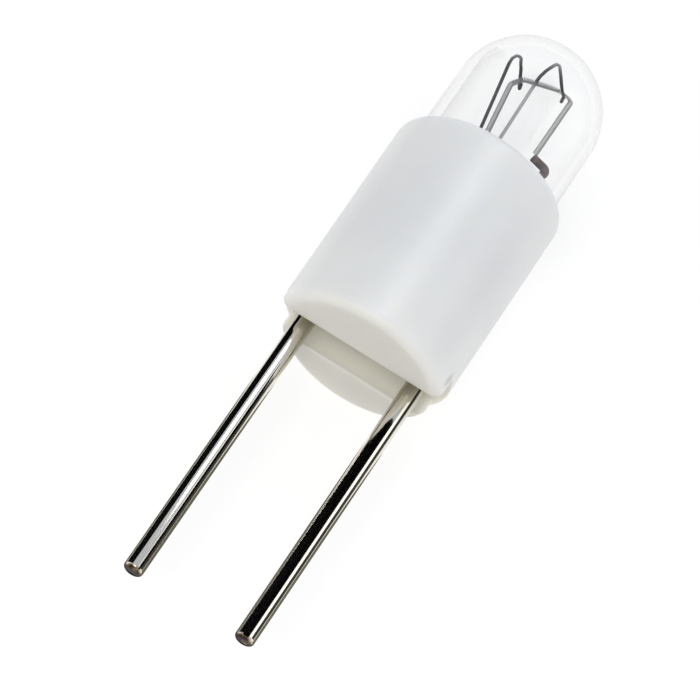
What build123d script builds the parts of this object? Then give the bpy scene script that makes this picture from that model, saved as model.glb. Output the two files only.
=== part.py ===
from build123d import *
import os

os.makedirs("parts", exist_ok=True)

# A bi-pin bulb, lying along X. The seating face of the base is at x = 0, the dome points to +X,
# the pins point to -X, and both pins lie in the XY plane.

# Driving dimensions in millimetres

# moulded base
base_wall = 0.335
base_length = 6.35
base_floor = 1.5
rim_round = 0.22
rim_inner_break = 0.05
end_round = 0.27
foot_height = 0.70
upper_foot_edge = 0.57
lower_foot_edge = 0.70
lower_foot_inset = 0.18

# contact pins, plated on the length that stands free of the base
pin_diameter = 0.53
pin_plating = 0.005
pin_pitch = 3.175
pin_free_length = 8.10
pin_tip_round = 0.10
pin_tail = 0.80

# glass bulb
glass_diameter = 3.97
glass_wall = 0.28
glass_fit_gap = 0.06
glass_showing = 4.345
glass_end_round = 1.20
glass_end_wall = 0.60

# cement between the base floor and the sealed end of the glass
cement_bed = 1.10
cement_rise = 0.80

# glass bead that holds the four wires
bead_diameter = 0.84
bead_height = 2.00
bead_round = 0.25
bead_end_land = 0.05

# lead wires, soldered beside the pin tails and folded inwards at the top
lead_diameter = 0.22
lead_spacing = 1.20
lead_pin_gap = 0.03
lead_foot_height = 0.15
lead_foot_length = 0.40
lead_bend = 0.15
lead_knee = 0.10
lead_neck = 0.10
lead_sway = 0.30
lead_fold = 0.50
lead_fold_rise = 0.13
lead_fold_bend = 0.13
lead_above_rim_left = 0.60
lead_above_rim_right = 0.95
lead_top_left = 0.88
lead_top_right = 1.33

# solder round the foot of a lead, reaching to the pin tail beside it
solder_wrap = 0.12
solder_height = 0.55
solder_lift = 0.10
solder_bevel = 0.06

# support wires: where they leave the bead, and each hook by its height above the dome's centre
# and its place across the lamp
support_diameter = 0.09
support_seat_left = 0.34
support_seat_right = 0.10
support_bend = 0.10
left_hook_height = 0.33
left_hook_across = 0.44
right_shoulder_height = 0.95
right_shoulder_across = 0.16
right_shoulder_bend = 1.50
right_top_bend = 0.07
right_hook_height = 0.61
right_hook_across = -0.63

# bends near the dome: clearance inside it, and angle from the lamp's axis about the dome's centre
left_shoulder_clearance = 0.262
left_shoulder_angle = 46.7
left_top_clearance = 0.06
left_top_angle = 35.2
right_top_clearance = 0.165
right_top_angle = -2.0
hook_gap = 0.02
hook_nib = 0.08
hook_bend = 0.06

# coiled filament, and how far the whole mount leans to +Z at its top
filament_diameter = 0.15
filament_bend = 0.12
filament_end_gap = 0.01
filament_crest_height = 0.67
filament_crest_across = 0.05
mount_lean = 0.35

# Sizes worked out from the driving dimensions
glass_radius = glass_diameter / 2
dome_inner_radius = glass_radius - glass_wall
bore_radius = glass_radius + glass_fit_gap
base_radius = bore_radius + base_wall
base_diameter = 2 * base_radius
lower_foot_radius = base_radius - lower_foot_inset
cavity_floor = foot_height + base_floor
glass_foot = cavity_floor + cement_bed
dome_centre = base_length + glass_showing - glass_radius
pin_radius = pin_diameter / 2
pin_root_radius = pin_radius - pin_plating
pin_offset = pin_pitch / 2
lead_radius = lead_diameter / 2
bead_centre = glass_foot + bead_height
bead_radius = bead_diameter / 2
bead_length = lead_spacing + lead_diameter + 2 * (bead_end_land + bead_round)
left_lead_top = base_length + lead_above_rim_left
right_lead_top = base_length + lead_above_rim_right
lead_foot_offset = pin_offset - pin_root_radius - lead_pin_gap - lead_radius
solder_radius = lead_radius + lead_pin_gap + solder_wrap
filament_radius = filament_diameter / 2
hook_room = filament_radius + support_diameter / 2 + hook_gap
hook_step = hook_room * 4 / 3


# Round wire bent along straight runs with a given radius at each corner
def bent_wire(name, diameter, points, bends):
    with BuildPart() as wire:
        with BuildLine() as route:
            FilletPolyline(*points, radius=bends)
        with BuildSketch(Plane(origin=route.line @ 0, z_dir=route.line % 0)):
            Circle(diameter / 2)
        sweep()
    wire.part.label = name
    export_step(wire.part, f"parts/{name}.step")
    return wire.part


# Contact pin: drawn wire, plated and rounded on its free length, moulded into the base by its root
def contact_pin(name, side):
    with BuildPart() as pin:
        with BuildSketch(Plane.YZ.offset(-pin_free_length)):
            with Locations((side * pin_offset, 0)):
                Circle(pin_radius)
        extrude(amount=pin_free_length)
        fillet(pin.edges().sort_by(Axis.X)[0], pin_tip_round)
        with BuildSketch(Plane.YZ):
            with Locations((side * pin_offset, 0)):
                Circle(pin_root_radius)
        extrude(amount=cavity_floor + pin_tail)
    pin.part.label = name
    export_step(pin.part, f"parts/{name}.step")
    return pin.part


pins = [contact_pin("contact_pin_left", 1), contact_pin("contact_pin_right", -1)]

# Base: a barrel whose closed end stands on two feet with a slot between them.
# The upper foot is flush with the barrel, the lower one is set in from it.
with BuildPart() as base_sleeve:
    with BuildSketch(Plane.YZ.offset(foot_height)):
        Circle(base_radius)
    extrude(amount=base_length - foot_height)
    with BuildSketch(Plane.YZ):
        Circle(base_radius)
        with Locations((0, upper_foot_edge)):
            Rectangle(base_diameter, base_diameter, align=(Align.CENTER, Align.MIN), mode=Mode.INTERSECT)
    extrude(amount=foot_height)
    with BuildSketch(Plane.YZ):
        Circle(lower_foot_radius)
        with Locations((0, -lower_foot_edge)):
            Rectangle(base_diameter, base_diameter, align=(Align.CENTER, Align.MAX), mode=Mode.INTERSECT)
    extrude(amount=foot_height)
    foot_rims = base_sleeve.edges().group_by(Axis.X)[0].filter_by(GeomType.CIRCLE)
    fillet(foot_rims, end_round)
    fillet(base_sleeve.edges().sort_by(Axis.X)[-1], rim_round)
    with BuildSketch(Plane.YZ.offset(cavity_floor)):
        Circle(bore_radius)
    extrude(amount=base_length - cavity_floor, mode=Mode.SUBTRACT)
    mouth = base_sleeve.edges().group_by(Axis.X)[-1].sort_by(SortBy.RADIUS)[0]
    fillet(mouth, rim_inner_break)
    for pin in pins:
        add(pin, mode=Mode.SUBTRACT)
base_sleeve.part.label = "base_sleeve"
export_step(base_sleeve.part, "parts/base_sleeve.step")


# Lead wire: from its foot beside the pin tail, in through the glass, up through the bead,
# out to the side and folded in again over the end of the filament
def lead_wire(name, side, top, top_offset):
    seat = side * lead_spacing / 2
    foot_low = cavity_floor + lead_foot_height
    points = [
        (foot_low, side * lead_foot_offset, 0),
        (foot_low + lead_foot_length, side * lead_foot_offset, 0),
        (glass_foot - lead_knee, seat, 0),
        (bead_centre + bead_radius + lead_neck, seat, 0),
        (top, side * top_offset, mount_lean),
        (top + lead_fold_rise, side * (top_offset - lead_fold), mount_lean),
    ]
    return bent_wire(name, lead_diameter, points, [lead_bend, lead_bend, lead_sway, lead_fold_bend])


leads = [
    lead_wire("lead_wire_left", 1, left_lead_top, lead_top_left),
    lead_wire("lead_wire_right", -1, right_lead_top, lead_top_right),
]


# Solder joint: a short round lump on the foot of a lead, run against the pin tail beside it
def solder_joint(name, side, pin, lead):
    with BuildPart() as solder:
        with BuildSketch(Plane.YZ.offset(cavity_floor + solder_lift)):
            with Locations((side * lead_foot_offset, 0)):
                Circle(solder_radius)
        extrude(amount=solder_height)
        chamfer(solder.edges().filter_by(GeomType.CIRCLE), solder_bevel)
        lump = solder.part
        add(pin, mode=Mode.SUBTRACT)
        add(lead, mode=Mode.SUBTRACT)
    solder.part.label = name
    export_step(solder.part, f"parts/{name}.step")
    return lump


solder_lumps = [
    solder_joint("solder_joint_left", 1, pins[0], leads[0]),
    solder_joint("solder_joint_right", -1, pins[1], leads[1]),
]


# A place inside the dome: height above its centre and distance across the lamp
def near_dome(clearance, angle):
    place = Vector(dome_inner_radius - clearance, 0).rotate(Axis.Z, angle)
    return place.X, place.Y


# Support wire: straight up from the bead, over at the top, down on one face of the filament
# and round under it
def support_wire(name, seat, shoulder, top, hook, rise_depth, face, bends):
    tail_depth = mount_lean + face * hook_step
    nib_depth = mount_lean - face * hook_nib
    points = [
        (bead_centre, seat, 0),
        (dome_centre + shoulder[0], shoulder[1], rise_depth),
        (dome_centre + top[0], top[1], rise_depth),
        (dome_centre + hook[0], hook[1], tail_depth),
        (dome_centre + hook[0], hook[1], nib_depth),
    ]
    return bent_wire(name, support_diameter, points, bends)


# The left wire comes down behind the filament, the right one stays in front of it
supports = [
    support_wire(
        "support_wire_left",
        support_seat_left,
        near_dome(left_shoulder_clearance, left_shoulder_angle),
        near_dome(left_top_clearance, left_top_angle),
        (left_hook_height, left_hook_across),
        mount_lean,
        -1,
        [support_bend, support_bend, hook_bend],
    ),
    support_wire(
        "support_wire_right",
        support_seat_right,
        (right_shoulder_height, right_shoulder_across),
        near_dome(right_top_clearance, right_top_angle),
        (right_hook_height, right_hook_across),
        mount_lean + hook_step,
        1,
        [right_shoulder_bend, right_top_bend, hook_bend],
    ),
]

# Filament: up from the left lead, across over both hooks and down to the right lead.
# It turns round each hook at the clearance of the two wires.
fold_top = lead_fold_rise + lead_radius + filament_end_gap
left_end = lead_top_left - lead_fold + filament_radius
right_end = lead_top_right - lead_fold
left_hook_x = dome_centre + left_hook_height
right_hook_x = dome_centre + right_hook_height
bent_wire(
    "filament",
    filament_diameter,
    [
        (left_lead_top + fold_top, left_end, mount_lean),
        (left_hook_x - hook_room * 2 / 3, left_hook_across + hook_room * 5 / 3, mount_lean),
        (left_hook_x + hook_room * 3 / 2, left_hook_across + hook_room / 5, mount_lean),
        (dome_centre + filament_crest_height, filament_crest_across, mount_lean),
        (right_hook_x + hook_room * 3 / 2, right_hook_across + hook_room * 3 / 2, mount_lean),
        (right_hook_x + hook_room * 6 / 5, right_hook_across - hook_room * 3 / 2, mount_lean),
        (right_lead_top + fold_top, -right_end, mount_lean),
    ],
    filament_bend,
)

# Glass bead: a short glass rod fused across the four wires
with BuildPart() as glass_bead:
    with BuildSketch(Plane.XZ.offset(-bead_length / 2)):
        with Locations((bead_centre, 0)):
            Circle(bead_radius)
    extrude(amount=bead_length)
    ends = glass_bead.edges().filter_by(GeomType.CIRCLE)
    fillet(ends, bead_round)
    for wire in leads + supports:
        add(wire, mode=Mode.SUBTRACT)
glass_bead.part.label = "glass_bead"
export_step(glass_bead.part, "parts/glass_bead.step")

# Half outline of the glass on the XY plane: from its flat sealed end, round the corner,
# along the tube and over the dome to the axis
def glass_outline(foot, radius, end_round):
    corner_top = (foot + end_round, radius)
    corner_low = (foot, radius - end_round)
    dome_top = (dome_centre + radius, 0)
    Polyline(dome_top, (foot, 0), corner_low)
    TangentArc(corner_top, corner_low, tangent=(-1, 0))
    Line(corner_top, (dome_centre, radius))
    TangentArc((dome_centre, radius), dome_top, tangent=(1, 0))


# Outer form of the glass, which also shapes the seat in the cement
with BuildPart() as glass_form:
    with BuildSketch():
        with BuildLine():
            glass_outline(glass_foot, glass_radius, glass_end_round)
        make_face()
    revolve(axis=Axis.X)

# Glass bulb: the same form hollowed to its wall, with the leads sealed into its end
with BuildPart() as glass_bulb:
    add(glass_form.part)
    with BuildSketch():
        with BuildLine():
            glass_outline(
                glass_foot + glass_end_wall, dome_inner_radius, glass_end_round - glass_end_wall
            )
        make_face()
    revolve(axis=Axis.X, mode=Mode.SUBTRACT)
    for lead in leads:
        add(lead, mode=Mode.SUBTRACT)
glass_bulb.part.label = "glass_bulb"
export_step(glass_bulb.part, "parts/glass_bulb.step")

# Cement: fills the cavity under the glass, round the pin tails, the leads and their solder
with BuildPart() as basing_cement:
    with BuildSketch(Plane.YZ.offset(cavity_floor)):
        Circle(bore_radius)
    extrude(amount=cement_bed + cement_rise)
    add(glass_form.part, mode=Mode.SUBTRACT)
    for bedded in pins + leads + solder_lumps:
        add(bedded, mode=Mode.SUBTRACT)
basing_cement.part.label = "basing_cement"
export_step(basing_cement.part, "parts/basing_cement.step")
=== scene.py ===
import math

import bmesh
import bpy
from mathutils import Matrix, Vector


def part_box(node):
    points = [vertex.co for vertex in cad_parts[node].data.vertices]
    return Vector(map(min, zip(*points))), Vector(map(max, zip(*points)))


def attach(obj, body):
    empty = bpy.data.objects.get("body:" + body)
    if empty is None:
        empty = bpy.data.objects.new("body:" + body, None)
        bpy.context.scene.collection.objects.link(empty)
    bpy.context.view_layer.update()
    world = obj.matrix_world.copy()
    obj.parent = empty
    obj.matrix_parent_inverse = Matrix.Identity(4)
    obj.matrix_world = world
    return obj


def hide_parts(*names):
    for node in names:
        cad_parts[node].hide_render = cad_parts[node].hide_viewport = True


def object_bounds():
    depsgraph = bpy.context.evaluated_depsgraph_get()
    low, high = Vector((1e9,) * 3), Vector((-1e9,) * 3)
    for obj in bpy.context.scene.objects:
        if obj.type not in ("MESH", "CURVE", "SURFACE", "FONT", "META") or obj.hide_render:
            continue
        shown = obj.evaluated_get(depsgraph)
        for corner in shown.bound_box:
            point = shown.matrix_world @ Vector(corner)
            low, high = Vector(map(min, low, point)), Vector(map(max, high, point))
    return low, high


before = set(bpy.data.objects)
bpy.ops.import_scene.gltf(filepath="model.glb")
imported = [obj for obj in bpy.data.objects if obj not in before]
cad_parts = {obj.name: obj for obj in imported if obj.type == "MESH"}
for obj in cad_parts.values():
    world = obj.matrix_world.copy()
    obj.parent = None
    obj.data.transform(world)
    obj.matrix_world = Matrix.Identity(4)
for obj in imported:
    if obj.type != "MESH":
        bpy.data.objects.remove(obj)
cad_low, cad_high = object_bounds()


# Base sleeve: one moulding in white thermoplastic, a round barrel that is open at the glass end.
# Its closed end stands on two feet with a slot between them: the upper foot is flush with the
# barrel, the lower one is set in. The mould leaves every edge a little round.
MM = 0.001
base_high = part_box("base_sleeve")[1]
base_radius = base_high.y
base_wall = 0.335 * MM
base_floor = 1.5 * MM
rim_round = 0.22 * MM
rim_inner_break = 0.05 * MM
end_round = 0.27 * MM
foot_height = 0.70 * MM
upper_foot_edge = 0.57 * MM
lower_foot_edge = -0.70 * MM
lower_foot_inset = 0.18 * MM
upper_edge_break = 0.04 * MM
lower_edge_round = 0.06 * MM
round_steps = 8
break_steps = 3
barrel_sides = 160
along_x = (0, math.pi / 2, 0)
nearly = 0.002 * MM


def pick(piece, parts, wanted):
    """In edit mode, select the piece's faces or edges that pass a test, and nothing else."""
    bpy.ops.mesh.select_mode(type="FACE" if parts == "faces" else "EDGE")
    bpy.ops.mesh.select_all(action="DESELECT")
    shape = bmesh.from_edit_mesh(piece.data)
    for part in getattr(shape, parts):
        if wanted(part):
            part.select_set(True)
    shape.select_flush_mode()
    bmesh.update_edit_mesh(piece.data)


def glass_end(face):
    """A test for the faces that look along the lamp's axis, towards the glass."""
    return face.normal.x > 0.9


def rim(x, radius):
    """A test for the edges of the circle of that radius at that place on the lamp's axis."""

    def on_circle(spot):
        return abs(spot.x - x) < nearly and abs(math.hypot(spot.y, spot.z) - radius) < nearly

    def wanted(edge):
        start, end = (v.co for v in edge.verts)
        return all(on_circle(spot) for spot in (start, end, (start + end) / 2))

    return wanted


def slot_edge(x, z):
    """A test for a foot's straight edge along the slot, at that place on the axis and that height."""
    return lambda edge: all(abs(v.co.x - x) < nearly and abs(v.co.z - z) < nearly for v in edge.verts)


def turned_rod(name, radius, x_from, x_to, sides, y=0.0):
    """A round bar along X, in edit mode, with its place in its mesh."""
    bpy.ops.object.select_all(action="DESELECT")
    bpy.ops.mesh.primitive_cylinder_add(
        vertices=sides,
        radius=radius,
        depth=x_to - x_from,
        location=((x_from + x_to) / 2, y, 0),
        rotation=along_x,
    )
    rod = bpy.context.object
    rod.name = name
    bpy.ops.object.transform_apply()
    bpy.ops.object.mode_set(mode="EDIT")
    return rod


def block(name, low, high):
    """A square block between two corners, in edit mode, with its place in its mesh."""
    bpy.ops.object.select_all(action="DESELECT")
    bpy.ops.mesh.primitive_cube_add(size=1, location=(Vector(low) + Vector(high)) / 2)
    piece = bpy.context.object
    piece.name = name
    piece.scale = Vector(high) - Vector(low)
    bpy.ops.object.transform_apply()
    bpy.ops.object.mode_set(mode="EDIT")
    return piece


def round_off(size, steps):
    """Round the selected edges."""
    bpy.ops.mesh.bevel(offset=size, segments=steps, affect="EDGES")


def combine(piece, tool, operation):
    """Join another solid to the piece, cut it away or keep what they share, and remove that solid."""
    bpy.ops.object.select_all(action="DESELECT")
    bpy.context.view_layer.objects.active = piece
    step = piece.modifiers.new(operation.lower(), "BOOLEAN")
    step.operation = operation
    step.object = tool
    step.solver = "EXACT"
    bpy.ops.object.modifier_apply(modifier=step.name)
    bpy.data.objects.remove(tool)


def finish_mesh(piece, sharp_angle):
    """Shade the piece smooth, but for edges that turn by more than the angle, in degrees."""
    bpy.ops.object.select_all(action="DESELECT")
    piece.select_set(True)
    bpy.context.view_layer.objects.active = piece
    bpy.ops.object.shade_smooth_by_angle(angle=math.radians(sharp_angle))


base = turned_rod("base_shell", base_radius, 0, base_high.x, barrel_sides)
pick(base, "faces", glass_end)
bpy.ops.mesh.inset(thickness=base_wall)
bore_depth = base_high.x - foot_height - base_floor
bpy.ops.mesh.extrude_region_move(TRANSFORM_OT_translate={"value": (-bore_depth, 0, 0)})
pick(base, "edges", rim(base_high.x, base_radius))
round_off(rim_round, round_steps)
pick(base, "edges", rim(base_high.x, base_radius - base_wall))
round_off(rim_inner_break, break_steps)
pick(base, "edges", rim(0, base_radius))
round_off(end_round, round_steps)
bpy.ops.object.mode_set(mode="OBJECT")

# All of the closed end but the upper foot is cut away
clear = 1.5 * base_radius
cutter = block("cutter", (-foot_height, -clear, -clear), (foot_height, clear, upper_foot_edge))
bpy.ops.object.mode_set(mode="OBJECT")
combine(base, cutter, "DIFFERENCE")
bpy.ops.object.mode_set(mode="EDIT")
pick(base, "edges", slot_edge(0, upper_foot_edge))
round_off(upper_edge_break, break_steps)
bpy.ops.object.mode_set(mode="OBJECT")

# The lower foot is a smaller bar, flat along the slot, with a soft edge there. It is sunk into the floor
lower_foot_radius = base_radius - lower_foot_inset
foot_root = foot_height + base_floor / 3
foot_front = -0.001 * MM
lower_foot = turned_rod("lower_foot", lower_foot_radius, 0, foot_root, barrel_sides)
pick(lower_foot, "edges", rim(0, lower_foot_radius))
round_off(end_round, round_steps)
bpy.ops.object.mode_set(mode="OBJECT")
below_slot = block(
    "below_slot", (foot_front, -clear, -clear), (foot_root + foot_height, clear, lower_foot_edge)
)
pick(below_slot, "edges", slot_edge(foot_front, lower_foot_edge))
round_off(lower_edge_round, round_steps)
bpy.ops.object.mode_set(mode="OBJECT")
combine(lower_foot, below_slot, "INTERSECT")
combine(base, lower_foot, "UNION")

# Each pin leaves its own round hole in the floor
pin_low, pin_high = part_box("contact_pin_left")
pin_radius = (pin_high.y - pin_low.y) / 2
pin_offset = (pin_high.y + pin_low.y) / 2
pin_plating = 0.005 * MM
pin_sides = 48
hole_overrun = 0.2 * MM
hole_from = foot_height - hole_overrun
hole_to = foot_height + base_floor + hole_overrun
for side in (1, -1):
    hole = turned_rod("pin_hole", pin_radius - pin_plating, hole_from, hole_to, pin_sides, side * pin_offset)
    bpy.ops.object.mode_set(mode="OBJECT")
    combine(base, hole, "DIFFERENCE")
finish_mesh(base, sharp_angle=35)
even = base.modifiers.new("even", "WEIGHTED_NORMAL")
even.keep_sharp = True
bpy.ops.object.modifier_apply(modifier=even.name)


def finish_of(name):
    """A new node material: the material, its nodes, its links and its main shader."""
    material = bpy.data.materials.new(name)
    material.use_nodes = True
    tree = material.node_tree
    return material, tree.nodes, tree.links, tree.nodes["Principled BSDF"]


def own_place(nodes):
    """The place on the piece."""
    return nodes.new("ShaderNodeTexCoord").outputs["Object"]


def own_axes(nodes, links):
    """The place on the piece as its X, Y and Z."""
    axes = nodes.new("ShaderNodeSeparateXYZ")
    links.new(own_place(nodes), axes.inputs["Vector"])
    return axes.outputs


def grain(nodes, links, scale, detail, stretch=(1, 1, 1)):
    """Noise on the piece's own coordinates. Scale is in cells a metre."""
    turn = nodes.new("ShaderNodeMapping")
    turn.inputs["Scale"].default_value = stretch
    noise = nodes.new("ShaderNodeTexNoise")
    noise.inputs["Scale"].default_value = scale
    noise.inputs["Detail"].default_value = detail
    links.new(own_place(nodes), turn.inputs["Vector"])
    links.new(turn.outputs["Vector"], noise.inputs["Vector"])
    return noise.outputs["Fac"]


def ramp(nodes, links, value, stops):
    """Colours along a value: each stop is a place from 0 to 1 and a colour or a grey."""
    node = nodes.new("ShaderNodeValToRGB")
    while len(node.color_ramp.elements) < len(stops):
        node.color_ramp.elements.new(1.0)
    for element, (place, colour) in zip(node.color_ramp.elements, stops):
        element.position = place
        element.color = (*colour, 1) if isinstance(colour, tuple) else (colour, colour, colour, 1)
    links.new(value, node.inputs["Fac"])
    return node.outputs["Color"]


def span(nodes, links, value, start, end, low=0.0, high=1.0):
    """How far a value has gone from its start to its end, from 0 to 1 or between two other numbers."""
    node = nodes.new("ShaderNodeMapRange")
    node.inputs["From Min"].default_value = start
    node.inputs["From Max"].default_value = end
    node.inputs["To Min"].default_value = low
    node.inputs["To Max"].default_value = high
    links.new(value, node.inputs["Value"])
    return node.outputs["Result"]


def tinted(nodes, links, colour, tint, share=None):
    """A colour multiplied by a tint, all of it or only by the share that is given."""
    node = nodes.new("ShaderNodeMix")
    node.data_type = "RGBA"
    node.blend_type = "MULTIPLY"
    node.inputs["Factor"].default_value = 1.0
    links.new(colour, node.inputs["A"])
    links.new(tint, node.inputs["B"])
    if share:
        links.new(share, node.inputs["Factor"])
    return node.outputs["Result"]


def emboss(nodes, links, shader, height, depth, strength):
    """Raise the surface by a height pattern, depth in metres."""
    bump = nodes.new("ShaderNodeBump")
    bump.inputs["Strength"].default_value = strength
    bump.inputs["Distance"].default_value = depth
    links.new(height, bump.inputs["Height"])
    links.new(bump.outputs["Normal"], shader.inputs["Normal"])


white_plastic, nodes, links, shader = finish_of("white_plastic")
clouds = grain(nodes, links, scale=700, detail=3)
plastic = ramp(nodes, links, clouds, [(0.3, (0.775, 0.785, 0.795)), (0.7, (0.80, 0.808, 0.818))])
# Painted shade in the slot and on the lower foot: the plastic is tinted darker and warmer there, darkest in
# a thin band on the lower foot's round edge, which hides that edge's highlight
slot_shade_fade = 0.06 * MM
slot_shade_stops = [
    (0.0, (0.95, 0.95, 0.945)),
    (0.06, (0.75, 0.74, 0.72)),
    (0.18, (0.92, 0.90, 0.845)),
    (0.4, (0.98, 0.965, 0.90)),
]
axes = own_axes(nodes, links)
in_slot = nodes.new("ShaderNodeMath")
in_slot.operation = "MULTIPLY"
links.new(span(nodes, links, axes["Z"], upper_foot_edge, 0), in_slot.inputs[0])
links.new(span(nodes, links, axes["X"], foot_height + slot_shade_fade, foot_height), in_slot.inputs[1])
slot_depth = span(nodes, links, axes["X"], 0, foot_height)
slot_shade = ramp(nodes, links, slot_depth, slot_shade_stops)
plastic = tinted(nodes, links, plastic, slot_shade, in_slot.outputs["Value"])
# Painted shadow: a grey patch by the end of the slot on the right, where the slot's corner lies in shade
shadow_patch_place = Vector((0.54, -2.25, 0.77)) * MM
shadow_patch_size = Vector((0.34, 0.15, 0.15)) * MM
shadow_patch_slant = math.radians(14)
shadow_patch = nodes.new("ShaderNodeMapping")
shadow_patch.vector_type = "TEXTURE"
shadow_patch.inputs["Location"].default_value = shadow_patch_place
shadow_patch.inputs["Rotation"].default_value = (0, shadow_patch_slant, 0)
shadow_patch.inputs["Scale"].default_value = shadow_patch_size
links.new(own_place(nodes), shadow_patch.inputs["Vector"])
reach = nodes.new("ShaderNodeVectorMath")
reach.operation = "LENGTH"
links.new(shadow_patch.outputs["Vector"], reach.inputs[0])
shadow_patch_grey = ramp(nodes, links, reach.outputs["Value"], [(0.2, (0.68, 0.69, 0.68)), (1.0, (1.0, 1.0, 1.0))])
links.new(tinted(nodes, links, plastic, shadow_patch_grey), shader.inputs["Base Color"])
satin = ramp(nodes, links, grain(nodes, links, scale=5000, detail=2), [(0.3, 0.40), (0.7, 0.48)])
links.new(satin, shader.inputs["Roughness"])
mould_texture = grain(nodes, links, scale=14000, detail=4)
emboss(nodes, links, shader, mould_texture, depth=0.002 * MM, strength=0.25)
shader.inputs["IOR"].default_value = 1.5
shader.inputs["Specular IOR Level"].default_value = 0.9
shader.inputs["Subsurface Weight"].default_value = 1.0
shader.inputs["Subsurface Radius"].default_value = (1.0, 0.95, 0.8)
shader.inputs["Subsurface Scale"].default_value = 0.6 * MM
base.data.materials.clear()
base.data.materials.append(white_plastic)
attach(base, "root")
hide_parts("base_sleeve")


# Contact pins: two lengths of drawn wire, nickel plated on the free length, cropped and tumbled so
# that the cut ends are slightly round and show the brown metal under the plate. They are moulded
# into the base's floor by their roots.
tip_round = 0.10 * MM
tip_steps = 6
bare_reach = 0.12 * MM
bare_end = [
    (0.0, (0.010, 0.005, 0.006)),
    (0.2, (0.06, 0.038, 0.026)),
    (0.4, (0.20, 0.15, 0.08)),
    (0.75, (0.80, 0.77, 0.70)),
]
root_shade_reach = (-1.0 * MM, 0.5 * MM)
nickel, nodes, links, shader = finish_of("nickel_plate")
axes = own_axes(nodes, links)
wear = grain(nodes, links, scale=5000, detail=3)
worn = nodes.new("ShaderNodeMath")
worn.operation = "ADD"
links.new(span(nodes, links, axes["X"], pin_low.x, pin_low.x + bare_reach), worn.inputs[0])
links.new(span(nodes, links, wear, 0, 1, low=-0.5, high=0.8), worn.inputs[1])
plate = ramp(nodes, links, worn.outputs["Value"], bare_end)
# Painted reflection: the pins turn darker and olive towards their roots, for the shaded slot that they
# reflect there
near_root = span(nodes, links, axes["X"], *root_shade_reach)
root_shade = ramp(nodes, links, near_root, [(0.0, (1.0, 1.0, 1.0)), (1.0, (0.34, 0.32, 0.22))])
links.new(tinted(nodes, links, plate, root_shade), shader.inputs["Base Color"])
drawn_lines = grain(nodes, links, scale=9000, detail=3, stretch=(0.02, 1, 1))
links.new(ramp(nodes, links, drawn_lines, [(0.3, 0.06), (0.7, 0.12)]), shader.inputs["Roughness"])
emboss(nodes, links, shader, drawn_lines, depth=0.001 * MM, strength=0.15)
shader.inputs["Metallic"].default_value = 1.0

pins = {}
for side, name in ((1, "left"), (-1, "right")):
    pin = turned_rod("pin_" + name, pin_radius, pin_low.x, 0, pin_sides, side * pin_offset)
    pick(pin, "faces", glass_end)
    bpy.ops.mesh.inset(thickness=pin_plating)
    bpy.ops.mesh.extrude_region_move(TRANSFORM_OT_translate={"value": (pin_high.x, 0, 0)})
    pick(pin, "edges", lambda edge: all(abs(v.co.x - pin_low.x) < nearly for v in edge.verts))
    round_off(tip_round, tip_steps)
    bpy.ops.object.mode_set(mode="OBJECT")
    finish_mesh(pin, sharp_angle=40)
    pin.data.materials.append(nickel)
    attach(pin, "root")
    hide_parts("contact_pin_" + name)
    pins[name] = pin


# Solder joints: a dull grey lump of tin solder on each pin's tail, inside the base. It was melted
# round the foot of the lead, so that the lead and the pin are one conductor.
solder, nodes, links, shader = finish_of("tin_solder")
lumps = grain(nodes, links, scale=6000, detail=4)
tin = ramp(nodes, links, lumps, [(0.3, (0.42, 0.42, 0.42)), (0.7, (0.62, 0.62, 0.61))])
links.new(tin, shader.inputs["Base Color"])
links.new(ramp(nodes, links, lumps, [(0.3, 0.3), (0.7, 0.5)]), shader.inputs["Roughness"])
emboss(nodes, links, shader, lumps, depth=0.01 * MM, strength=0.5)
shader.inputs["Metallic"].default_value = 0.9


def dress(node, material):
    """Give a piece of the frame its finish."""
    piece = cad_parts[node]
    piece.data.materials.clear()
    piece.data.materials.append(material)


for name in ("left", "right"):
    dress("solder_joint_" + name, solder)


# Basing cement: a beige mineral paste that fills the cavity under the glass. It is put in wet and
# sets hard, and it holds the glass and beds the solder joints.
cement, nodes, links, shader = finish_of("beige_cement")
grit = grain(nodes, links, scale=9000, detail=6)
beige = ramp(nodes, links, grit, [(0.3, (0.50, 0.45, 0.36)), (0.7, (0.66, 0.61, 0.50))])
links.new(beige, shader.inputs["Base Color"])
emboss(nodes, links, shader, grit, depth=0.02 * MM, strength=0.6)
shader.inputs["Roughness"].default_value = 0.85
dress("basing_cement", cement)


# Glass bulb: a thin tube blown to a round dome at one end and melted shut round the leads at the
# other. The wall is even, clear and fire polished, with a faint waviness.
glass_low, glass_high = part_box("glass_bulb")
glass_radius = glass_high.y
glass_wall = 0.28 * MM
glass_end_round = 1.20 * MM
glass_end_steps = 10
glass_sides = 160
dome_rings = 96
fine_cut = 1e-5 * MM
dome_centre = glass_high.x - glass_radius
bpy.ops.object.select_all(action="DESELECT")
bpy.ops.mesh.primitive_uv_sphere_add(
    segments=glass_sides,
    ring_count=dome_rings,
    radius=glass_radius,
    location=(dome_centre, 0, 0),
    rotation=along_x,
)
glass = bpy.context.object
glass.name = "glass_shell"
bpy.ops.object.transform_apply()
bpy.ops.object.mode_set(mode="EDIT")
bpy.ops.mesh.select_all(action="SELECT")
bpy.ops.mesh.bisect(plane_co=(dome_centre, 0, 0), plane_no=(-1, 0, 0), clear_outer=True, threshold=fine_cut)
pick(glass, "edges", lambda edge: edge.is_boundary)
tube_foot = glass_low.x + glass_end_round
bpy.ops.mesh.extrude_edges_move(TRANSFORM_OT_translate={"value": (tube_foot - dome_centre, 0, 0)})
flat_radius = glass_radius - glass_end_round
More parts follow.
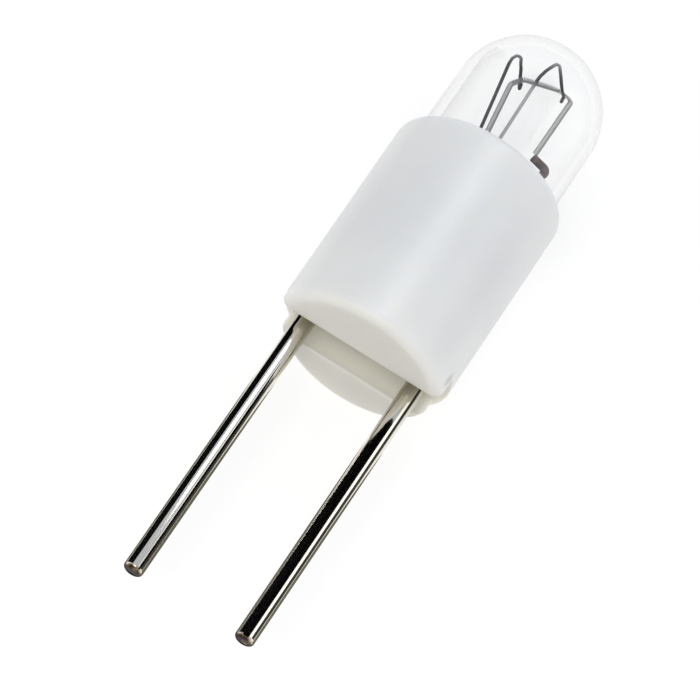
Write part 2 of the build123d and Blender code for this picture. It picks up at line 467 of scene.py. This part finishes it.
for step in range(1, glass_end_steps + 1):
    before = (step - 1) / glass_end_steps * math.pi / 2
    after = step / glass_end_steps * math.pi / 2
    drop = glass_end_round * (math.sin(before) - math.sin(after))
    radius_before = flat_radius + glass_end_round * math.cos(before)
    radius_after = flat_radius + glass_end_round * math.cos(after)
    shrink = radius_after / radius_before
    bpy.ops.mesh.extrude_edges_move(TRANSFORM_OT_translate={"value": (drop, 0, 0)})
    bpy.ops.transform.resize(value=(1, shrink, shrink), center_override=(0, 0, 0))
bpy.ops.mesh.edge_face_add()
bpy.ops.mesh.select_all(action="SELECT")
bpy.ops.mesh.normals_make_consistent(inside=False)
bpy.ops.object.mode_set(mode="OBJECT")
wall = glass.modifiers.new("wall", "SOLIDIFY")
wall.thickness = glass_wall
wall.offset = -1
bpy.ops.object.modifier_apply(modifier=wall.name)
finish_mesh(glass, sharp_angle=60)

clear_glass, nodes, links, shader = finish_of("clear_glass")
waviness = grain(nodes, links, scale=450, detail=1)
emboss(nodes, links, shader, waviness, depth=0.01 * MM, strength=0.06)
# Painted shade: the glass is tinted greyer where it is seen edge-on, for its grey rims
edge_on = nodes.new("ShaderNodeLayerWeight").outputs["Facing"]
links.new(ramp(nodes, links, edge_on, [(0.42, 1.0), (0.6, 0.91), (1.0, 0.84)]), shader.inputs["Base Color"])
shader.inputs["Roughness"].default_value = 0.0
shader.inputs["IOR"].default_value = 1.47
shader.inputs["Transmission Weight"].default_value = 1.0
tint = nodes.new("ShaderNodeVolumeAbsorption")
tint.inputs["Color"].default_value = (0.2, 0.22, 0.22, 1)
tint.inputs["Density"].default_value = 60
links.new(tint.outputs["Volume"], nodes["Material Output"].inputs["Volume"])
glass.data.materials.append(clear_glass)
glass.visible_shadow = False
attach(glass, "root")
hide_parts("glass_bulb")


# Glass bead: a short rod of soft greenish glass, melted across the four wires so that they keep
# their places. Its ends are rounded by the flame.
bead_low, bead_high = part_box("glass_bead")
bead_radius = (bead_high.z - bead_low.z) / 2
bead_centre = (bead_low.x + bead_high.x) / 2
bead_round = 0.25 * MM
bead_steps = 6
bead_sides = 48
bpy.ops.object.select_all(action="DESELECT")
bpy.ops.mesh.primitive_cylinder_add(
    vertices=bead_sides,
    radius=bead_radius,
    depth=bead_high.y - bead_low.y,
    location=(bead_centre, 0, 0),
    rotation=(math.pi / 2, 0, 0),
)
bead = bpy.context.object
bead.name = "bead"
bpy.ops.object.transform_apply()
bpy.ops.object.mode_set(mode="EDIT")
pick(bead, "edges", lambda edge: all(abs(abs(v.co.y) - bead_high.y) < nearly for v in edge.verts))
round_off(bead_round, bead_steps)
bpy.ops.object.mode_set(mode="OBJECT")
finish_mesh(bead, sharp_angle=50)

bead_glass, nodes, links, shader = finish_of("bead_glass")
seeds = grain(nodes, links, scale=3000, detail=2)
green = ramp(nodes, links, seeds, [(0.3, (0.70, 0.80, 0.76)), (0.7, (0.86, 0.92, 0.90))])
links.new(green, shader.inputs["Base Color"])
links.new(ramp(nodes, links, seeds, [(0.3, 0.05), (0.7, 0.18)]), shader.inputs["Roughness"])
shader.inputs["IOR"].default_value = 1.52
shader.inputs["Transmission Weight"].default_value = 0.85
bead.data.materials.append(bead_glass)
bead.visible_shadow = False
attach(bead, "root")
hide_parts("glass_bead")


# Lead wires: copper-clad wire, reddened and darkened by the sealing flame. Each comes up through the
# bead, leans out and is folded in again over the end of the filament.
copper, nodes, links, shader = finish_of("oxidised_copper")
scale_spots = grain(nodes, links, scale=7000, detail=4)
reds = ramp(nodes, links, scale_spots, [(0.35, (0.02, 0.010, 0.011)), (0.75, (0.14, 0.07, 0.07))])
links.new(reds, shader.inputs["Base Color"])
links.new(ramp(nodes, links, scale_spots, [(0.3, 0.55), (0.7, 0.35)]), shader.inputs["Roughness"])
emboss(nodes, links, shader, scale_spots, depth=0.004 * MM, strength=0.4)
shader.inputs["Metallic"].default_value = 0.85
for name in ("left", "right"):
    dress("lead_wire_" + name, copper)


# Support wires: thin hard-drawn wire, bent to a hook at the top that carries the filament. The heat
# of the filament has blackened the hooks; the right wire stays bright lower down.
wire_zone = (8.0 * MM, 10.3 * MM)
wire_soot = (0.38 * MM, 0.8 * MM)
soot_shades = [(0.0, 0.02), (1.0, 1.0)]
left_hook = Vector((9.27, 0.51, 0.35)) * MM
right_hook = Vector((9.52, -0.57, 0.35)) * MM
# The last stop of each set of greys is lighter, at the top of the arch: a painted highlight
dark_tones_and_highlight = [(0.65, 0.035), (0.9, 0.2)]
two_tones_and_highlight = [(0.50, 0.42), (0.62, 0.05), (0.85, 0.08), (1.0, 0.28)]


def clean_of(nodes, links, hook, start, end):
    """How clean a piece is by its distance from a hook: 0 in the soot, 1 beyond it."""
    away = nodes.new("ShaderNodeVectorMath")
    away.operation = "DISTANCE"
    away.inputs[1].default_value = hook
    links.new(own_place(nodes), away.inputs[0])
    return span(nodes, links, away.outputs["Value"], start, end)


def drawn_wire(name, shades, hook):
    """Wire with drawing marks, in greys along the lamp's axis with a painted highlight near the top of the
    arch, sooty round its hook.
    """
    wire, nodes, links, shader = finish_of(name)
    mottle = nodes.new("ShaderNodeMath")
    mottle.operation = "MULTIPLY_ADD"
    mottle.inputs[1].default_value = 0.1
    links.new(grain(nodes, links, scale=20000, detail=3, stretch=(0.05, 1, 1)), mottle.inputs[0])
    links.new(span(nodes, links, own_axes(nodes, links)["X"], *wire_zone), mottle.inputs[2])
    clean = clean_of(nodes, links, hook, *wire_soot)
    soot = ramp(nodes, links, clean, soot_shades)
    greys = ramp(nodes, links, mottle.outputs["Value"], shades)
    links.new(tinted(nodes, links, greys, soot), shader.inputs["Base Color"])
    links.new(ramp(nodes, links, clean, [(0.0, 0.0), (1.0, 0.6)]), shader.inputs["Metallic"])
    shader.inputs["Roughness"].default_value = 0.5
    shader.inputs["Specular IOR Level"].default_value = 0.1
    return wire


dress("support_wire_left", drawn_wire("dark_wire", dark_tones_and_highlight, left_hook))
dress("support_wire_right", drawn_wire("two_tone_wire", two_tones_and_highlight, right_hook))


# Filament: fine tungsten wire wound to a close coil. It is hung from lead to lead over the two hooks,
# and it is black with soot where it touches them.
coil_radius = 0.075 * MM
coil_wire = 0.013 * MM
coil_wire_sides = 6
coil_pitch = 0.046 * MM
coil_steps = 14
coil_bend = 0.12 * MM
coil_soot = (0.06 * MM, 0.11 * MM)
mount_lean = 0.35
corners = [
    (7.20, 0.455),
    (8.947, 0.673),
    (9.25, 0.468),
    (9.38, 0.05),
    (9.53, -0.42),
    (9.488, -0.84),
    (7.55, -0.83),
]


def bent_route(corners, bend, step):
    """Points along straight runs, about a step apart, with a round of the given radius at each corner."""
    route = [corners[0]]
    for before, corner, after in zip(corners, corners[1:], corners[2:]):
        arrive = (corner - before).normalized()
        leave = (after - corner).normalized()
        turn = arrive.angle(leave)
        start = corner - arrive * bend * math.tan(turn / 2)
        centre = start + (leave - arrive * arrive.dot(leave)).normalized() * bend
        axis = arrive.cross(leave)
        pieces = max(2, math.ceil(turn * bend / step))
        for i in range(pieces + 1):
            route.append(centre + Matrix.Rotation(turn * i / pieces, 3, axis) @ (start - centre))
    route.append(corners[-1])
    points = []
    for start, end in zip(route, route[1:]):
        pieces = max(1, round((end - start).length / step))
        points += [start.lerp(end, i / pieces) for i in range(pieces)]
    return points + [route[-1]]


def wire_piece(name, points, radius, sides):
    """A round wire through the points, as a mesh."""
    bpy.ops.object.select_all(action="DESELECT")
    curve = bpy.data.curves.new(name, "CURVE")
    curve.dimensions = "3D"
    curve.bevel_depth = radius
    curve.bevel_resolution = sides // 2 - 2
    curve.use_fill_caps = True
    line = curve.splines.new("POLY")
    line.points.add(len(points) - 1)
    for spot, point in zip(line.points, points):
        spot.co = (*point, 1)
    wire = bpy.data.objects.new(name, curve)
    bpy.context.collection.objects.link(wire)
    bpy.context.view_layer.objects.active = wire
    wire.select_set(True)
    bpy.ops.object.convert(target="MESH")
    return bpy.context.object


hang = [Vector((x, y, mount_lean)) * MM for x, y in corners]
middle = bent_route(hang, coil_bend, coil_pitch / coil_steps)
spread = coil_radius - coil_wire
lift = Vector((0, 0, 1))
turns = []
gone = 0.0
for before, here in zip(middle, middle[1:]):
    along = (here - before).normalized()
    gone += (here - before).length
    angle = gone / coil_pitch * 2 * math.pi
    aside = along.cross(lift)
    turns.append(here + aside * math.cos(angle) * spread + lift * math.sin(angle) * spread)
coil = wire_piece("filament_coil", turns, coil_wire, coil_wire_sides)
finish_mesh(coil, sharp_angle=60)

tungsten, nodes, links, shader = finish_of("tungsten")
wound = grain(nodes, links, scale=20000, detail=2)
greys = ramp(nodes, links, wound, [(0.3, (0.22, 0.22, 0.225)), (0.7, (0.36, 0.36, 0.365))])
for hook in (left_hook, right_hook):
    clean = clean_of(nodes, links, hook, *coil_soot)
    greys = tinted(nodes, links, greys, ramp(nodes, links, clean, soot_shades))
links.new(greys, shader.inputs["Base Color"])
shader.inputs["Roughness"].default_value = 0.45
shader.inputs["Metallic"].default_value = 0.9
coil.data.materials.append(tungsten)
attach(coil, "root")
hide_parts("filament")


# Studio: a plain pale floor under the lamp, a white room that is whiter below than above, and dim and
# warm low down beyond the pins. Two soft lamps hang above, and cards stand round it for the metal and
# the glass to reflect.
floor_size = 1.0
bpy.ops.object.select_all(action="DESELECT")
bpy.ops.mesh.primitive_plane_add(size=floor_size, location=(0, 0, cad_low.z))
floor = bpy.context.object
floor.name = "floor"
pale, nodes, links, shader = finish_of("pale_floor")
floor_clouds = grain(nodes, links, scale=40, detail=2)
links.new(ramp(nodes, links, floor_clouds, [(0.3, 0.36), (0.7, 0.38)]), shader.inputs["Base Color"])
shader.inputs["Roughness"].default_value = 0.9
shader.inputs["Specular IOR Level"].default_value = 0.1
shader.inputs["Emission Color"].default_value = (1, 1, 1, 1)
shader.inputs["Emission Strength"].default_value = 0.70
floor.data.materials.append(pale)
floor.visible_diffuse = False


def towards(nodes, links, direction):
    """How far the view into the room turns to a direction, from 0 to 1."""
    facing = nodes.new("ShaderNodeTexCoord")
    turn = nodes.new("ShaderNodeVectorMath")
    turn.operation = "DOT_PRODUCT"
    turn.inputs[1].default_value = Vector(direction).normalized()
    links.new(facing.outputs["Generated"], turn.inputs[0])
    return span(nodes, links, turn.outputs["Value"], -1, 1)


pale_below = [(0.0, (0.99, 1.0, 1.01)), (0.5, (0.89, 0.91, 0.94)), (1.0, (0.40, 0.43, 0.47))]
warm_shade = [
    (0.45, (1.0, 1.0, 1.0)),
    (0.6, (0.97, 0.92, 0.825)),
    (0.9, (0.63, 0.58, 0.495)),
    (1.0, (0.43, 0.39, 0.305)),
]
overhead_way = (0, 0, 1)
dim_way = (-0.8, 0, -0.6)
world = bpy.data.worlds.new("studio")
world.use_nodes = True
nodes, links = world.node_tree.nodes, world.node_tree.links
walls = ramp(nodes, links, towards(nodes, links, overhead_way), pale_below)
dim_side = ramp(nodes, links, towards(nodes, links, dim_way), warm_shade)
links.new(tinted(nodes, links, walls, dim_side), nodes["Background"].inputs["Color"])
nodes["Background"].inputs["Strength"].default_value = 1.215
scene = bpy.context.scene
scene.world = world
scene.view_settings.view_transform = "Standard"

# The lamps leave no streaks on the glass or the right pin, which reflect only the room and the cards
out_of_light = bpy.data.collections.new("out_of_lamp_light")
for piece in (glass, pins["right"]):
    out_of_light.objects.link(piece)
for member in out_of_light.collection_objects:
    member.light_linking.link_state = "EXCLUDE"


def soft_lamp(name, place, size, power, colour):
    """A square soft light that faces the object's middle."""
    bpy.ops.object.select_all(action="DESELECT")
    bpy.ops.object.light_add(type="AREA", location=place)
    lamp = bpy.context.object
    lamp.name = name
    lamp.data.size = size
    lamp.data.energy = power
    lamp.data.color = colour
    aim = Vector((base_high.x / 2, 0, 0)) - Vector(place)
    lamp.rotation_euler = aim.to_track_quat("-Z", "Y").to_euler()
    lamp.light_linking.receiver_collection = out_of_light
    return lamp


soft_lamp("front_lamp", (-0.085, 0.01, 0.147), size=0.08, power=0.08, colour=(1.0, 0.94, 0.82))
overhead = soft_lamp("overhead_lamp", (0.08, -0.004, 0.143), size=0.06, power=0.065, colour=(1.0, 1.0, 1.0))
overhead.visible_diffuse = False


def matt_paper(name, tones):
    """A finish for cards that shine nowhere."""
    paper, nodes, links, shader = finish_of(name)
    fibres = grain(nodes, links, scale=200, detail=2)
    links.new(ramp(nodes, links, fibres, tones), shader.inputs["Base Color"])
    shader.inputs["Roughness"].default_value = 1.0
    shader.inputs["Specular IOR Level"].default_value = 0.0
    return paper


def card(name, finish, low, high, x_from, x_to):
    """A card that only shows in reflections. Low and high are its edges as (y, z)."""
    bpy.ops.object.select_all(action="DESELECT")
    reach = Vector(high) - Vector(low)
    bpy.ops.mesh.primitive_plane_add(
        size=1,
        location=((x_from + x_to) / 2, (low[0] + high[0]) / 2, (low[1] + high[1]) / 2),
        rotation=(math.atan2(reach.y, reach.x), 0, 0),
    )
    sheet = bpy.context.object
    sheet.name = name
    sheet.scale = (x_to - x_from, reach.length, 1)
    bpy.ops.object.transform_apply()
    sheet.data.materials.append(finish)
    sheet.visible_camera = False
    sheet.visible_diffuse = False
    sheet.visible_transmission = False
    sheet.visible_shadow = False


black = matt_paper("black_card", [(0.3, 0.0), (0.7, 0.002)])
dim = matt_paper("dim_card", [(0.3, 0.05), (0.7, 0.06)])
olive = matt_paper("olive_card", [(0.3, (0.17, 0.16, 0.12)), (0.7, (0.20, 0.19, 0.145))])
white, nodes, links, shader = finish_of("white_card")
fibres = grain(nodes, links, scale=100, detail=2)
links.new(ramp(nodes, links, fibres, [(0.3, 0.78), (0.7, 0.8)]), shader.inputs["Base Color"])
shader.inputs["Emission Color"].default_value = (1.0, 0.98, 0.94, 1)
shader.inputs["Emission Strength"].default_value = 0.8
on_floor = cad_low.z + 0.02 * MM
card("left_card", black, (8 * MM, -1.8 * MM), (16 * MM, 23 * MM), x_from=-7 * MM, x_to=16 * MM)
card("right_card", dim, (-12 * MM, -1.2 * MM), (-12 * MM, 6.2 * MM), x_from=-5 * MM, x_to=11 * MM)
card("pin_card", black, (-2.7 * MM, 2 * MM), (0, 2 * MM), x_from=-10 * MM, x_to=-0.05 * MM)
card("bright_card", white, (-52 * MM, 30 * MM), (-34 * MM, 49 * MM), x_from=0, x_to=60 * MM)
# The olive card on the floor under the pins stands for the shade there: a painted shadow that the rim's
# corners reflect
card("floor_card", olive, (-12 * MM, on_floor), (8 * MM, on_floor), x_from=-9 * MM, x_to=-0.5 * MM)


# Camera: a long lens that looks down on the pins' end from high up. It is turned about its own axis so
# that the lamp lies across the frame, from the pins at the lower left to the dome at the upper right.
azimuth = math.radians(-79.996)
elevation = math.radians(61.399)
roll = math.radians(23.063)
distance = 143.664 * MM
aside = 0.116 * MM
above = 0.288 * MM
back = Vector(
    (
        math.sin(azimuth) * math.cos(elevation),
        -math.cos(azimuth) * math.cos(elevation),
        math.sin(elevation),
    )
)
level = Vector((math.cos(azimuth), math.sin(azimuth), 0))
rise = back.cross(level)
right = math.cos(roll) * level + math.sin(roll) * rise
up = math.cos(roll) * rise - math.sin(roll) * level
bpy.ops.object.camera_add()
camera = bpy.context.object
camera.data.lens = 298.3
camera.data.sensor_width = 36
camera.data.clip_start = 10 * MM
camera.data.clip_end = 10
spot = back * distance - right * aside + up * above
camera.matrix_world = Matrix.Translation(spot) @ Matrix((right, up, back)).transposed().to_4x4()
scene.camera = camera

bpy.context.view_layer.update()
